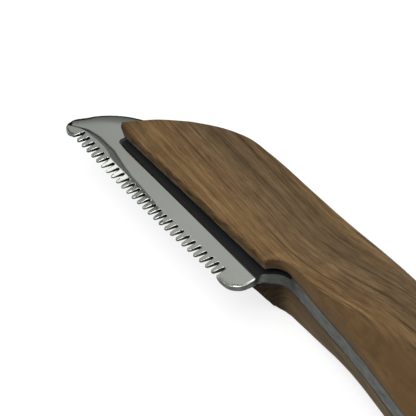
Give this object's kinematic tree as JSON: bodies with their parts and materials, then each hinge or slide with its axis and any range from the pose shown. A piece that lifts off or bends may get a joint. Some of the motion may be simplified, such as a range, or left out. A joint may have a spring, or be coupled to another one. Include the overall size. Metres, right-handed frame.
{
  "type": "stripping knife",
  "caption": "Pet grooming stripping knife: a short steel blade with a toothed edge, set along a rounded wooden handle whose front side runs out over the blade as a thin thumb rest.",
  "frame": {"origin": "middle of the knife's outline seen from above, on the surface that its back scale lies on", "axes": "+X from the blade's nose to the butt, +Y from the teeth to the spine, +Z out of the front face"},
  "size_m": [0.1546, 0.0282, 0.0202],
  "materials": {
    "polished_steel": "polished, faintly brushed along the length",
    "walnut": "satin, oiled walnut, grain along the length",
    "dark_walnut": "satin, oiled walnut, darker side",
    "pin_steel": "plain turned steel, hidden"
  },
  "bodies": {
    "root": {"blade_and_tang": "polished_steel", "front_scale": "walnut", "back_scale": "dark_walnut", "front_pin": "pin_steel", "middle_pin": "pin_steel", "rear_pin": "pin_steel"}
  },
  "joints": []
}
